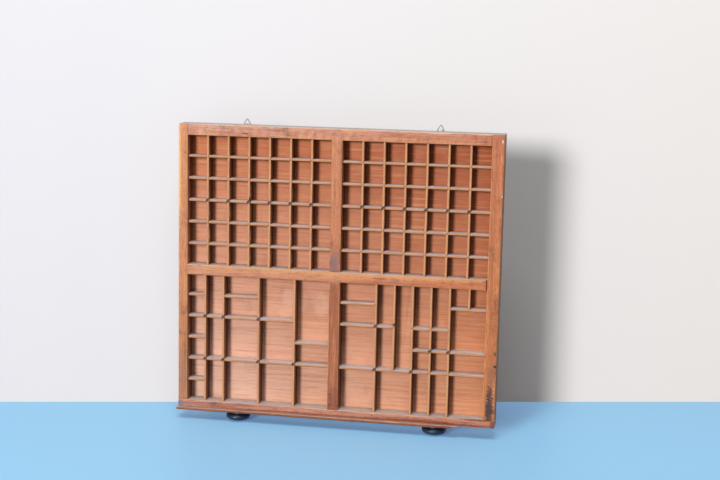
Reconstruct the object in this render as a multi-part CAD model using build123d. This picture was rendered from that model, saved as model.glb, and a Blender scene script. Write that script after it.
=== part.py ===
from build123d import *
import os
from dataclasses import dataclass, field

os.makedirs("parts", exist_ok=True)

# A printer's type case: a shallow wooden tray, divided by thin slips into
# compartments, stood upright on the two knobs of its drawer front.
# Millimetres. +X right, +Z up, the open face towards -Y. The origin is the
# centre of the bounding box at the level that the knobs stand on.

# --- Frame ---------------------------------------------------------------
left_stile_width = 12.3
right_stile_width = 15.3
mullion_width = 14.2
bay_width = 188.6           # clear width of one of the four bays
top_rail_height = 14.3
cross_rail_height = 13.5
front_rail_height = 9.9
frame_depth = 21.4
frame_edge_radius = 0.7     # worn front arrises of the frame
tenon_length = 3.0
tenon_setback = 6.0         # from the frame's face to the tenon's cheek
tenon_shoulder = 2.5        # above and below a rail's tenon, beside a mullion's
cross_rail_shrinkage = 1.6  # open joint seen at the cross rail's right end
cross_rail_gap_depth = 4.5

# --- Plywood back and the strip along the bottom -------------------------
panel_thickness = 6.35
strip_height = 3.7
strip_proud = 2.5           # stands in front of the frame's face
strip_overhang = 2.0        # past the left stile
strip_edge_radius = 0.9
strip_missing_length = 60.0 # from where the break starts to the case's right side
strip_break_length = 13.0
strip_break_steps = ((0.3, 0.2), (0.6, 0.65))  # shares of the break's length and height
groove_height = 1.7         # rebate along the rail, above the strip
groove_depth = 3.0

# --- Slips: the thin uprights and shelves --------------------------------
row_count = 6
upper_column_count = 7
row_clear_height = 25.8
slip_thickness = 2.8
slip_setback = 3.4          # from the frame's face to the slips' front edges
slip_edge_radius = 0.8
narrow_left_column = 21.65  # clear widths in the lower bays
narrow_right_column = 20.95
stub_from_right = 20.8      # clear width between the stub upright and the right stile
dado_depth = 0.7
nick_depth = 2.2            # notch in a long shelf's front edge at each crossing

# --- Fits ----------------------------------------------------------------
joint_gap = 0.1             # each side of a slip in its dado or slot, and at its end
pin_gap = 0.05              # round a nail or screw
running_gap = 0.08          # round the hanger's bar

# --- Knobs ---------------------------------------------------------------
knob_radius = 16.0
knob_height = 12.5
knob_neck_radius = 9.5
knob_neck_height = 2.6
knob_rim_radius = 2.4
knob_face_sag = 3.4         # rise of the domed face from rim to centre
knob_dome_turn = 3.2        # inwards from the rim to where the dome steepens
knob_dome_turn_height = 1.87
knob_dome_slope = 0.08      # at the worn flat
knob_shoulder_turn = 1.92   # inwards from the rim to the roundest of the shoulder
knob_shoulder_drop = 0.7
knob_shoulder_slope = 0.1   # at the neck
knob_inset = 78.5           # from the case's side to the knob's axis
knob_foot_radius = 6.0      # flat worn on the dome where it stands
knob_screw_radius = 2.0
knob_screw_in_knob = 7.0
knob_screw_in_rail = 10.0

# --- Hangers on the back of the top rail ---------------------------------
hanger_inset = 83.5         # from the case's side to the ring's middle
left_bar_rise = -0.6        # ring's bar, above the top of the frame
right_bar_rise = 0.2
wire_radius = 0.55
ring_width = 10.8           # over the wire, before the corners are rounded
ring_height = 8.5           # from the bar's axis to the apex before it is rounded
ring_corner_radius = 0.85
strap_sheet = 0.7
knuckle_width = 4.6
strap_width = 7.0
strap_length = 13.0         # from the bar's axis to the strap's rounded end
strap_neck = 3.2            # from the bar's axis to where the strap widens
hanger_screw_drop = 8.6     # from the bar's axis to the screw
hanger_screw_radius = 1.1
hanger_screw_length = 13.0
hanger_screw_head_radius = 2.2
hanger_screw_head_height = 1.1

# --- Nails ---------------------------------------------------------------
nail_radius = 0.6
nail_head_radius = 1.3
nail_head_height = 0.6
frame_nail_length = 26.0
frame_nail_depth = 8.4      # from the frame's face to the first nail in a stile's side
frame_nail_spacing = 3.4
frame_nail_set = 0.25       # head driven below the surface
panel_nail_length = 14.0
brad_length = 9.0
brad_depth = 5.35           # from the frame's face to the brads
brad_end_margin = 8.0       # from the strip's break to the last brad
rail_nail_count = 5         # panel nails along each rail
stile_nail_count = 4        # panel nails beside each bay
strip_brad_count = 5
nail_end_margin = 16.0

# --- Worked out from the sizes above -------------------------------------
case_width = left_stile_width + right_stile_width + mullion_width + 2 * bay_width
bay_height = row_count * row_clear_height + (row_count - 1) * slip_thickness

strip_bottom_z = knob_height
rail_bottom_z = strip_bottom_z + strip_height
lower_bay_bottom_z = rail_bottom_z + front_rail_height
lower_bay_top_z = lower_bay_bottom_z + bay_height
upper_bay_bottom_z = lower_bay_top_z + cross_rail_height
upper_bay_top_z = upper_bay_bottom_z + bay_height
case_top_z = upper_bay_top_z + top_rail_height

knuckle_bore_radius = wire_radius + running_gap
knuckle_radius = knuckle_bore_radius + strap_sheet
strap_thickness = 2 * strap_sheet
hanger_proud = max(2 * knuckle_radius, strap_thickness + hanger_screw_head_height)
knob_proud = knob_radius - (frame_depth + panel_thickness) / 2
overall_depth = strip_proud + frame_depth + panel_thickness + max(hanger_proud, knob_proud)

case_left_x = -(case_width + strip_overhang) / 2 + strip_overhang
left_bay_x = case_left_x + left_stile_width
mullion_left_x = left_bay_x + bay_width
right_bay_x = mullion_left_x + mullion_width
right_stile_x = right_bay_x + bay_width
case_right_x = right_stile_x + right_stile_width
strip_left_x = case_left_x - strip_overhang
break_x = case_right_x - strip_missing_length

face_y = -overall_depth / 2 + strip_proud
slip_front_y = face_y + slip_setback
back_y = face_y + frame_depth
panel_back_y = back_y + panel_thickness
lap_y = (slip_front_y + back_y) / 2
knob_y = (face_y + panel_back_y) / 2
bar_y = panel_back_y + knuckle_radius

wide_left_column = (bay_width - 2 * narrow_left_column - 4 * slip_thickness) / 3
wide_right_column = (bay_width - 4 * narrow_right_column - 5 * slip_thickness) / 2
upper_column = (bay_width - (upper_column_count - 1) * slip_thickness) / upper_column_count

cut_over = 1.0              # how far a cutter runs past the face that it opens


def slab(x_range, y_range, z_range):
    """Box between three pairs of limits."""
    ranges = (x_range, y_range, z_range)
    sizes = [high - low for low, high in ranges]
    corner = [low for low, high in ranges]
    return Pos(*corner) * Box(*sizes, align=(Align.MIN, Align.MIN, Align.MIN))


def ease_front(piece, along, radius):
    """Round the two front arrises that run along an axis."""
    arrises = piece.edges().filter_by(along).group_by(Axis.Y)[0]
    return fillet(arrises, radius)


# --- Bays ----------------------------------------------------------------

@dataclass
class Bay:
    """One opening of the frame and the slips that divide it.

    Boundary 0 is the bay's left side and boundary n the right side of its
    n-th column. Row line 0 is the bay's top and row line row_count its foot.
    """
    name: str
    left: float
    top: float
    columns: list
    uprights: dict                                   # boundary: (row line above, below)
    long_shelves: list                               # (row line, boundary, boundary)
    short_shelves: list = field(default_factory=list)
    open_slots: list = field(default_factory=list)   # (row line, boundary)

    def cell_left(self, column):
        return self.left + sum(self.columns[:column]) + column * slip_thickness

    def cell_right(self, column):
        return self.cell_left(column) + self.columns[column]

    def shelf_z(self, line):
        """Lower and upper face of a shelf on a row line."""
        upper = self.top - line * row_clear_height - (line - 1) * slip_thickness
        return upper - slip_thickness, upper

    def upright_x(self, boundary):
        return self.cell_right(boundary - 1), self.cell_left(boundary)

    def shelves(self):
        return self.long_shelves + self.short_shelves

    def upright_ends(self, boundary):
        """Lowest and highest point of an upright, with its ends in their dados."""
        above, below = self.uprights[boundary]
        reach = dado_depth - joint_gap
        top = self.top if above == 0 else self.shelf_z(above)[0]
        foot = self.top - bay_height if below == row_count else self.shelf_z(below)[1]
        return foot - reach, top + reach

    def crosses(self, shelf, boundary):
        """True where a shelf runs on through an upright."""
        line, first, last = shelf
        if boundary not in self.uprights or not first < boundary < last:
            return False
        above, below = self.uprights[boundary]
        return above < line < below

    def carries(self, shelf, boundary):
        """Side of a shelf, -1 below or 1 above, that holds the end of an upright, or 0."""
        line, first, last = shelf
        if boundary not in self.uprights or not first < boundary < last:
            return 0
        above, below = self.uprights[boundary]
        return 1 if line == below else -1 if line == above else 0


def widened(limits, gap):
    return limits[0] - gap, limits[1] + gap


def front_slot(bay, line, boundary):
    """Slot in an upright, open to the front, that a long shelf drops into."""
    low, high = bay.upright_x(boundary)
    return slab((low - cut_over, high + cut_over), (slip_front_y - cut_over, lap_y + joint_gap),
                widened(bay.shelf_z(line), joint_gap))


def make_upright(bay, boundary):
    piece = slab(bay.upright_x(boundary), (slip_front_y, back_y), bay.upright_ends(boundary))
    piece = ease_front(piece, Axis.Z, slip_edge_radius)
    low, high = bay.upright_x(boundary)
    above, below = bay.uprights[boundary]
    cuts = [front_slot(bay, line, edge) for line, edge in bay.open_slots if edge == boundary]
    for shelf in bay.shelves():
        line, first, last = shelf
        z_range = widened(bay.shelf_z(line), joint_gap)
        y_range = (slip_front_y - cut_over, back_y + cut_over)
        if bay.crosses(shelf, boundary):
            cuts.append(front_slot(bay, line, boundary))
        elif last == boundary and above < line < below:
            cuts.append(slab((low - cut_over, low + dado_depth), y_range, z_range))
        elif first == boundary and above < line < below:
            cuts.append(slab((high - dado_depth, high + cut_over), y_range, z_range))
    return piece - cuts if cuts else piece


def make_shelf(bay, shelf):
    line, first, last = shelf
    reach = dado_depth - joint_gap
    z_low, z_high = bay.shelf_z(line)
    x_range = (bay.cell_left(first) - reach, bay.cell_right(last - 1) + reach)
    piece = slab(x_range, (slip_front_y, back_y), (z_low, z_high))
    piece = ease_front(piece, Axis.X, slip_edge_radius)
    cuts = []
    for boundary in bay.uprights:
        limits = widened(bay.upright_x(boundary), joint_gap)
        side = bay.carries(shelf, boundary)
        if bay.crosses(shelf, boundary):
            z_range = (z_low - cut_over, z_high + cut_over)
            cuts.append(slab(limits, (lap_y, back_y + cut_over), z_range))
            cuts.append(slab(limits, (slip_front_y - cut_over, slip_front_y + nick_depth), z_range))
        elif side:
            z_range = (z_high - dado_depth, z_high + cut_over)
            if side < 0:
                z_range = (z_low - cut_over, z_low + dado_depth)
            cuts.append(slab(limits, (slip_front_y - cut_over, back_y + cut_over), z_range))
    return piece - cuts if cuts else piece


def bay_dados(bay, side):
    """Dado cutters of a bay's slips in the frame at its left, right, top or foot."""
    y_range = (slip_front_y - joint_gap, back_y + cut_over)
    right = bay.left + bay_width
    foot = bay.top - bay_height
    cuts = []
    for line, first, last in bay.shelves():
        z_range = widened(bay.shelf_z(line), joint_gap)
        if side == "left" and first == 0:
            cuts.append(slab((bay.left - dado_depth, bay.left + cut_over), y_range, z_range))
        if side == "right" and last == len(bay.columns):
            cuts.append(slab((right - cut_over, right + dado_depth), y_range, z_range))
    for boundary, (above, below) in bay.uprights.items():
        x_range = widened(bay.upright_x(boundary), joint_gap)
        if side == "top" and above == 0:
            cuts.append(slab(x_range, y_range, (bay.top - cut_over, bay.top + dado_depth)))
        if side == "foot" and below == row_count:
            cuts.append(slab(x_range, y_range, (foot - dado_depth, foot + cut_over)))
    return cuts


def upper_bay(name, left):
    """Seven columns of six compartments; the middle shelf runs right across."""
    middle = row_count // 2
    columns = range(upper_column_count)
    lines = [line for line in range(1, row_count) if line != middle]
    return Bay(
        name=name,
        left=left,
        top=upper_bay_top_z,
        columns=[upper_column] * upper_column_count,
        uprights={boundary: (0, row_count) for boundary in range(1, upper_column_count)},
        long_shelves=[(middle, 0, upper_column_count)],
        short_shelves=[(line, column, column + 1) for line in lines for column in columns],
    )


upper_left = upper_bay("upper_left", left_bay_x)
upper_right = upper_bay("upper_right", right_bay_x)

lower_left = Bay(
    name="lower_left",
    left=left_bay_x,
    top=lower_bay_top_z,
    columns=[narrow_left_column] * 2 + [wide_left_column] * 3,
    uprights={boundary: (0, row_count) for boundary in (1, 2, 3, 4)},
    long_shelves=[(2, 0, 4), (4, 0, 5)],
    short_shelves=[(1, 0, 1), (3, 0, 1), (5, 0, 1), (1, 2, 3), (3, 4, 5)],
)

# The stub upright splits only the first row of the last, wide column. It
# stands at a boundary of its own, so that column is two clear widths.
stub_left_column = wide_right_column - stub_from_right - slip_thickness
lower_right = Bay(
    name="lower_right",
    left=right_bay_x,
    top=lower_bay_top_z,
    columns=[wide_right_column] + [narrow_right_column] * 4 + [stub_left_column, stub_from_right],
    uprights={1: (0, row_count), 2: (0, 4), 3: (0, row_count), 4: (0, row_count),
              5: (0, row_count), 6: (0, 1)},
    long_shelves=[(2, 0, 2), (3, 3, 7), (4, 0, 4), (1, 5, 7)],
    short_shelves=[(1, 0, 1), (2, 3, 4), (2, 4, 5), (4, 4, 5), (4, 5, 7)],
    open_slots=[(2, 3)],
)
bays = [upper_left, upper_right, lower_left, lower_right]

parts = {}


# --- Nails and screws ----------------------------------------------------

def pin(start, direction, length, radius, head_radius, head_height, gap=0.0, lead=0.0):
    """Nail or screw driven from a point along a direction.

    Its head is a disc at the start. With a gap and a lead it is the cutter of
    its own hole, which opens back past the head by the lead.
    """
    shank = Cylinder(radius + gap, length + gap, align=(Align.CENTER, Align.CENTER, Align.MIN))
    head = Pos(0, 0, -lead) * Cylinder(head_radius + gap, head_height + lead,
                                       align=(Align.CENTER, Align.CENTER, Align.MIN))
    return Plane(origin=start, z_dir=direction) * (shank + head)


def nail_and_hole(start, direction, length, set_depth=0.0):
    """Nail whose head is set below, or stands on, the surface at the start point."""
    size = (length, nail_radius, nail_head_radius, nail_head_height)
    head = tuple(place + set_depth * step for place, step in zip(start, direction))
    nail = pin(head, direction, *size)
    if set_depth > 0:
        return nail, pin(head, direction, *size, gap=pin_gap, lead=set_depth)
    hole = Cylinder(nail_radius + pin_gap, length + pin_gap,
                    align=(Align.CENTER, Align.CENTER, Align.MIN))
    return nail, Plane(origin=head, z_dir=direction) * hole


def spread(low, high, count):
    """Evenly spaced places from low to high."""
    return [low + (high - low) * step / (count - 1) for step in range(count)]


rails_z = {
    "top": case_top_z - top_rail_height / 2,
    "cross": upper_bay_bottom_z - cross_rail_height / 2,
    "front": rail_bottom_z + front_rail_height / 2,
}

frame_nails = []
for place_y in (face_y + frame_nail_depth, face_y + frame_nail_depth + frame_nail_spacing):
    for place_z in (rails_z["top"], rails_z["cross"]):
        frame_nails.append(nail_and_hole((case_left_x, place_y, place_z), (1, 0, 0),
                                         frame_nail_length, frame_nail_set))
        frame_nails.append(nail_and_hole((case_right_x, place_y, place_z), (-1, 0, 0),
                                         frame_nail_length, frame_nail_set))
for place_x in (case_left_x + left_stile_width / 2, mullion_left_x + mullion_width / 2,
                case_right_x - right_stile_width / 2):
    frame_nails.append(nail_and_hole((place_x, face_y + frame_depth / 2, rail_bottom_z),
                                     (0, 0, 1), frame_nail_length, frame_nail_set))

brad_low_x = case_left_x + nail_end_margin
brad_high_x = break_x - brad_end_margin
strip_brads = [nail_and_hole((place_x, face_y + brad_depth, strip_bottom_z), (0, 0, 1),
                             brad_length, frame_nail_set)
               for place_x in spread(brad_low_x, brad_high_x, strip_brad_count)]

nail_seat_y = panel_back_y + nail_head_height
panel_places = []
for rail_z in rails_z.values():
    for place_x in spread(case_left_x + nail_end_margin, case_right_x - nail_end_margin,
                          rail_nail_count):
        panel_places.append((place_x, rail_z))
for stile_x in (case_left_x + left_stile_width / 2, case_right_x - right_stile_width / 2):
    for low, high in ((lower_bay_bottom_z, lower_bay_top_z),
                      (upper_bay_bottom_z, upper_bay_top_z)):
        for place_z in spread(low + nail_end_margin, high - nail_end_margin, stile_nail_count):
            panel_places.append((stile_x, place_z))
panel_nails = [nail_and_hole((place_x, nail_seat_y, place_z), (0, -1, 0), panel_nail_length)
               for place_x, place_z in panel_places]

hanger_sides = {
    "left": (case_left_x + hanger_inset, case_top_z + left_bar_rise),
    "right": (case_right_x - hanger_inset, case_top_z + right_bar_rise),
}
hanger_screws = []
for hanger_x, bar_z in hanger_sides.values():
    seat = (hanger_x, panel_back_y + strap_thickness + hanger_screw_head_height,
            bar_z - hanger_screw_drop)
    size = (hanger_screw_length, hanger_screw_radius, hanger_screw_head_radius,
            hanger_screw_head_height)
    hole = Cylinder(hanger_screw_radius + pin_gap, hanger_screw_length + pin_gap,
                    align=(Align.CENTER, Align.CENTER, Align.MIN))
    hanger_screws.append((pin(seat, (0, -1, 0), *size), Plane(origin=seat, z_dir=(0, -1, 0)) * hole))

knob_sides = {"left": case_left_x + knob_inset, "right": case_right_x - knob_inset}
knob_screws = []
for knob_x in knob_sides.values():
    length = knob_screw_in_knob + knob_screw_in_rail
    place = Pos(knob_x, knob_y, strip_bottom_z - knob_screw_in_knob)
    screw = place * Cylinder(knob_screw_radius, length,
                             align=(Align.CENTER, Align.CENTER, Align.MIN))
    hole = place * Pos(0, 0, -pin_gap) * Cylinder(knob_screw_radius + pin_gap,
                                                  length + 2 * pin_gap,
                                                  align=(Align.CENTER, Align.CENTER, Align.MIN))
    knob_screws.append((screw, hole))

fasteners = frame_nails + strip_brads + panel_nails + hanger_screws + knob_screws


def drilled(piece, pairs):
    """Piece with the holes of the fasteners that reach it."""
    box = piece.bounding_box()
    holes = []
    for _, hole in pairs:
        other = hole.bounding_box()
        apart = [other.min.X > box.max.X, other.max.X < box.min.X,
                 other.min.Y > box.max.Y, other.max.Y < box.min.Y,
                 other.min.Z > box.max.Z, other.max.Z < box.min.Z]
        if not any(apart):
            holes.append(hole)
    return piece - holes if holes else piece


# --- Frame ---------------------------------------------------------------

tenon_y = (face_y + tenon_setback, back_y)


def rail_tenon(x_range, z_low, height, gap=0.0):
    """Tenon at a rail's end, or with a gap its mortise."""
    z_range = (z_low + tenon_shoulder - gap, z_low + height - tenon_shoulder + gap)
    return slab(x_range, (tenon_y[0] - gap, tenon_y[1] + cut_over * (gap > 0)), z_range)


def mullion_tenon(z_range, gap=0.0):
    """Tenon at a mullion's end, or with a gap its mortise."""
    x_range = (mullion_left_x + tenon_shoulder - gap,
               mullion_left_x + mullion_width - tenon_shoulder + gap)
    return slab(x_range, (tenon_y[0] - gap, tenon_y[1] + cut_over * (gap > 0)), z_range)


tenon_reach = tenon_length - joint_gap
rail_levels = {"top": (upper_bay_top_z, top_rail_height),
               "cross": (lower_bay_top_z, cross_rail_height)}


def make_stile(x_low, x_high, inner_x, outward, dados):
    piece = slab((x_low, x_high), (face_y, back_y), (lower_bay_bottom_z, case_top_z))
    piece = ease_front(piece, Axis.Z, frame_edge_radius)
    deep = sorted((inner_x - outward * cut_over, inner_x + outward * tenon_length))
    mortises = [rail_tenon(deep, low, height, joint_gap) for low, height in rail_levels.values()]
    return drilled(piece - (mortises + dados), fasteners)


def make_rail(z_low, height, cuts):
    """Rail between the stiles, with a tenon at each end."""
    piece = slab((left_bay_x, right_stile_x), (face_y, back_y), (z_low, z_low + height))
    piece = ease_front(piece, Axis.X, frame_edge_radius)
    piece += rail_tenon((left_bay_x - tenon_reach, left_bay_x + cut_over), z_low, height)
    piece += rail_tenon((right_stile_x - cut_over, right_stile_x + tenon_reach), z_low, height)
    return drilled(piece - cuts, fasteners)


def make_mullion(z_low, z_high, dados):
    """Mullion between two rails, with a tenon at each end."""
    piece = slab((mullion_left_x, right_bay_x), (face_y, back_y), (z_low, z_high))
    piece = ease_front(piece, Axis.Z, frame_edge_radius)
    piece += mullion_tenon((z_low - tenon_reach, z_low + cut_over))
    piece += mullion_tenon((z_high - cut_over, z_high + tenon_reach))
    return drilled(piece - dados, fasteners)


parts["left_stile"] = make_stile(
    case_left_x, left_bay_x, left_bay_x, -1,
    bay_dados(upper_left, "left") + bay_dados(lower_left, "left"))
parts["right_stile"] = make_stile(
    right_stile_x, case_right_x, right_stile_x, 1,
    bay_dados(upper_right, "right") + bay_dados(lower_right, "right"))

mortise_up = (upper_bay_top_z - cut_over, upper_bay_top_z + tenon_length)
parts["top_rail"] = make_rail(
    upper_bay_top_z, top_rail_height,
    bay_dados(upper_left, "top") + bay_dados(upper_right, "top")
    + [mullion_tenon(mortise_up, joint_gap)])

mortise_over = (upper_bay_bottom_z - tenon_length, upper_bay_bottom_z + cut_over)
mortise_under = (lower_bay_top_z - cut_over, lower_bay_top_z + tenon_length)
open_joint = slab((right_stile_x - cross_rail_shrinkage, right_stile_x + cut_over),
                  (face_y - cut_over, face_y + cross_rail_gap_depth),
                  (lower_bay_top_z - cut_over, upper_bay_bottom_z + cut_over))
parts["cross_rail"] = make_rail(
    lower_bay_top_z, cross_rail_height,
    bay_dados(upper_left, "foot") + bay_dados(upper_right, "foot")
    + bay_dados(lower_left, "top") + bay_dados(lower_right, "top")
    + [mullion_tenon(mortise_over, joint_gap), mullion_tenon(mortise_under, joint_gap),
       open_joint])

front_rail = slab((case_left_x, case_right_x), (face_y, back_y),
                  (rail_bottom_z, lower_bay_bottom_z))
front_rail = ease_front(front_rail, Axis.X, frame_edge_radius)
mortise_down = (lower_bay_bottom_z - tenon_length, lower_bay_bottom_z + cut_over)
groove = slab((case_left_x - cut_over, break_x),
              (face_y - cut_over, face_y + groove_depth),
              (rail_bottom_z - cut_over, rail_bottom_z + groove_height))
parts["front_rail"] = drilled(
    front_rail - (bay_dados(lower_left, "foot") + bay_dados(lower_right, "foot")
                  + [mullion_tenon(mortise_down, joint_gap), groove]), fasteners)

parts["upper_mullion"] = make_mullion(
    upper_bay_bottom_z, upper_bay_top_z,
    bay_dados(upper_left, "right") + bay_dados(upper_right, "left"))
parts["lower_mullion"] = make_mullion(
    lower_bay_bottom_z, lower_bay_top_z,
    bay_dados(lower_left, "right") + bay_dados(lower_right, "left"))

panel = slab((case_left_x, case_right_x), (back_y, panel_back_y), (rail_bottom_z, case_top_z))
parts["back_panel"] = drilled(panel, fasteners)

# The strip under the front rail is split away at its right end, so it runs
# out to nothing there on an uneven slope.
torn_edge = [(break_x + strip_break_length * along, strip_bottom_z + strip_height * up)
             for along, up in strip_break_steps]
strip_outline = Plane.XZ * make_face(Polyline(
    (strip_left_x, strip_bottom_z),
    (break_x, strip_bottom_z),
    *torn_edge,
    (break_x + strip_break_length, rail_bottom_z),
    (strip_left_x, rail_bottom_z),
    close=True))
strip = Pos(0, panel_back_y, 0) * extrude(strip_outline, panel_back_y - face_y + strip_proud)
long_arrises = strip.edges().filter_by(Axis.X).group_by(Axis.Y)[0]
strip = fillet(long_arrises, strip_edge_radius)
parts["front_strip"] = drilled(strip, strip_brads + knob_screws)

# --- Slips ---------------------------------------------------------------

for bay in bays:
    for boundary in bay.uprights:
        parts[f"{bay.name}_upright_{boundary}"] = make_upright(bay, boundary)
    for shelf in bay.long_shelves:
        parts[f"{bay.name}_long_shelf_row_{shelf[0]}"] = make_shelf(bay, shelf)
    lines = sorted({shelf[0] for shelf in bay.short_shelves})
    if bay in (upper_left, upper_right):
        for line in lines:
            row = [make_shelf(bay, shelf) for shelf in bay.short_shelves if shelf[0] == line]
            parts[f"{bay.name}_short_shelves_row_{line}"] = Compound(children=row)
    else:
        row = [make_shelf(bay, shelf) for shelf in bay.short_shelves]
        parts[f"{bay.name}_short_shelves"] = Compound(children=row)

# --- Knobs ---------------------------------------------------------------

rim_z = knob_face_sag + knob_rim_radius
shoulder_z = knob_height - knob_neck_height


def make_knob(knob_x):
    """Turned knob: a short neck under the strip, a rounded rim and a domed face."""
    profile = Polyline((0, 0), (knob_foot_radius, 0))
    dome_turn = (knob_radius - knob_dome_turn, knob_dome_turn_height)
    profile += Spline((knob_foot_radius, 0), dome_turn, (knob_radius, rim_z),
                      tangents=((1, knob_dome_slope), (0, 1)))
    shoulder_turn = (knob_radius - knob_shoulder_turn, shoulder_z - knob_shoulder_drop)
    profile += Spline((knob_radius, rim_z), shoulder_turn, (knob_neck_radius, shoulder_z),
                      tangents=((0, 1), (-1, knob_shoulder_slope)))
    profile += Polyline((knob_neck_radius, shoulder_z), (knob_neck_radius, knob_height),
                        (0, knob_height), (0, 0))
    turned = revolve(Plane.XZ * make_face(profile), axis=Axis.Z)
    return Pos(knob_x, knob_y, 0) * turned


for side, knob_x in knob_sides.items():
    parts[f"{side}_knob"] = drilled(make_knob(knob_x), knob_screws)

# --- Hangers -------------------------------------------------------------


def make_ring(hanger_x, bar_z):
    """Triangular wire ring, its straight bar in the strap's knuckle and its apex up."""
    half = ring_width / 2 - wire_radius
    corners = [(-half, 0, 0), (half, 0, 0), (0, 0, ring_height - wire_radius)]
    path = FilletPolyline(*corners, radius=ring_corner_radius, close=True)
    section = Plane(origin=path @ 0, z_dir=path % 0) * Circle(wire_radius)
    return Pos(hanger_x, bar_y, bar_z) * sweep(section, path=path)


def make_strap(hanger_x, bar_z):
    """Folded sheet strap with a knuckle round the ring's bar."""
    leaf_y = (-knuckle_radius, -knuckle_radius + strap_thickness)
    knuckle = Plane.YZ * Circle(knuckle_radius)
    neck = slab((-knuckle_width / 2, knuckle_width / 2), leaf_y, (-strap_neck - cut_over, 0))
    plate = slab((-strap_width / 2, strap_width / 2), leaf_y,
                 (-strap_length + strap_width / 2, -strap_neck))
    end = Pos(0, 0, -strap_length + strap_width / 2) * Rot(90, 0, 0) * Cylinder(
        strap_width / 2, strap_thickness, align=(Align.CENTER, Align.CENTER, Align.MIN))
    end = Pos(0, leaf_y[1], 0) * end
    body = extrude(knuckle, knuckle_width / 2, both=True) + neck + plate + end
    body -= extrude(Plane.YZ * Circle(knuckle_bore_radius), knuckle_width, both=True)
    return Pos(hanger_x, bar_y, bar_z) * body


for side, (hanger_x, bar_z) in hanger_sides.items():
    parts[f"{side}_hanger_ring"] = make_ring(hanger_x, bar_z)
    parts[f"{side}_hanger_strap"] = drilled(make_strap(hanger_x, bar_z), hanger_screws)

parts["frame_nails"] = Compound(children=[nail for nail, _ in frame_nails + strip_brads])
parts["panel_nails"] = Compound(children=[nail for nail, _ in panel_nails])
parts["hanger_screws"] = Compound(children=[screw for screw, _ in hanger_screws])
parts["knob_screws"] = Compound(children=[screw for screw, _ in knob_screws])

for name, shape in parts.items():
    export_step(shape, f"parts/{name}.step")
print(len(parts), "nodes", "case", case_width, "x", case_top_z - strip_bottom_z)
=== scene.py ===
"""Looks of a printer's type case stood on its knobs.

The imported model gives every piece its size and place. This script gives the
wood its grain, wear, dust and marks, rounds and roughens its edges, turns the
knobs, slots the screws, and sets up the floor, the wall, the light and the
camera. Places are in millimetres from the middle of the tray's foot.
"""

from __future__ import annotations

import logging
import math
import random
from dataclasses import dataclass, replace
from enum import Enum
from functools import partial

import bpy
from mathutils import Matrix, Vector, noise


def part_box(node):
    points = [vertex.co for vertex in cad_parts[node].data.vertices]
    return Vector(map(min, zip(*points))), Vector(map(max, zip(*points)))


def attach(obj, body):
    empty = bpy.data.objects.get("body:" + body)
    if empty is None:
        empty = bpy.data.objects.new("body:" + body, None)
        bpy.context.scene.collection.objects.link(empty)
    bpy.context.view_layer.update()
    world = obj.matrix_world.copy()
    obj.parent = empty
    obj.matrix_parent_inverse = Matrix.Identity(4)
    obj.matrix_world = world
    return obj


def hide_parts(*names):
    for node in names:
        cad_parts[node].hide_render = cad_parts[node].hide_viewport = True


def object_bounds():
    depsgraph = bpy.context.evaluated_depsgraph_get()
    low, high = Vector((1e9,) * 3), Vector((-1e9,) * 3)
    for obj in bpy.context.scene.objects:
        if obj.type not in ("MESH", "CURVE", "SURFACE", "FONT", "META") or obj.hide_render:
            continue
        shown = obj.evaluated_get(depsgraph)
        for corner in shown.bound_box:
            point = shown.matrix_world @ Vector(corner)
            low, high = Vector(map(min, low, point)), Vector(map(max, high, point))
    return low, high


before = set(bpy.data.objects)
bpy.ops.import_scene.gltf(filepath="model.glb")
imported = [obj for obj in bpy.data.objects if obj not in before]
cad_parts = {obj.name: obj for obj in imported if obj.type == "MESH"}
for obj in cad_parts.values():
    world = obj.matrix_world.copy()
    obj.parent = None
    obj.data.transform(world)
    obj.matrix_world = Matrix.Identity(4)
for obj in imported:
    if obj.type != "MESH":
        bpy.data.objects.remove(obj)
CAD_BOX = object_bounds()

log = logging.getLogger("type_case")
MM = 0.001
TRAY = "tray"
BOARD = "board"                     # attribute that tells one board of a piece from the next
BOARD_SHIFT = (0.37, 0.91, 0.53)    # how far a board's number moves its grain, in metres
LIFT = 1.0                          # metres added to a place, so that it is above 0
MERGE_MM = 0.002                    # points nearer to each other than this are one
FLAT_DEG = 0.5                      # faces that meet at less than this are one
SHARP_DEG = 50.0                    # edges sharper than this are rounded

Piece = bpy.types.Object
Material = bpy.types.Material
Tree = bpy.types.NodeTree
Node = bpy.types.Node
Socket = bpy.types.NodeSocket
Pair = tuple[float, float]
Triple = tuple[float, float, float]
Colour = tuple[float, float, float, float]


class GrainRun(Enum):
    """Direction in which a board's fibres run."""

    ACROSS = "x"
    UP = "z"

    def axis(self) -> int:
        """Number of the axis, from 0 for X."""
        return "xyz".index(self.value)

    def cross_axis(self) -> int:
        """Number of the axis across the board's face."""
        return 2 - self.axis()


# --- Small helpers ---------------------------------------------------------


def linear(colour: str) -> Colour:
    """Turn an sRGB hex colour into linear RGBA.

    Args:
        colour: Six hex digits after a hash sign.

    Returns:
        Linear red, green and blue, and an alpha of one.
    """
    channels = [int(colour[place:place + 2], 16) / 255 for place in (1, 3, 5)]
    # The numbers are those of the sRGB standard's own curve.
    toned = [c / 12.92 if c <= 0.04045 else ((c + 0.055) / 1.055) ** 2.4 for c in channels]
    return (*toned, 1.0)


def add_node(tree: Tree, kind: str, inputs: dict | None = None, **settings: object) -> Node:
    """Add a shader node with its settings, input values and links.

    Args:
        tree: Node tree that gets the node.
        kind: Blender's name of the node's type, without its first part, ShaderNode.
        inputs: Input names or numbers with a value or another node's socket.
        **settings: Attributes of the node.

    Returns:
        The new node.
    """
    made = tree.nodes.new(f"ShaderNode{kind}")
    for name, value in settings.items():
        setattr(made, name, value)
    for name, value in (inputs or {}).items():
        if isinstance(value, Socket):
            tree.links.new(value, made.inputs[name])
        else:
            made.inputs[name].default_value = value
    return made


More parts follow.
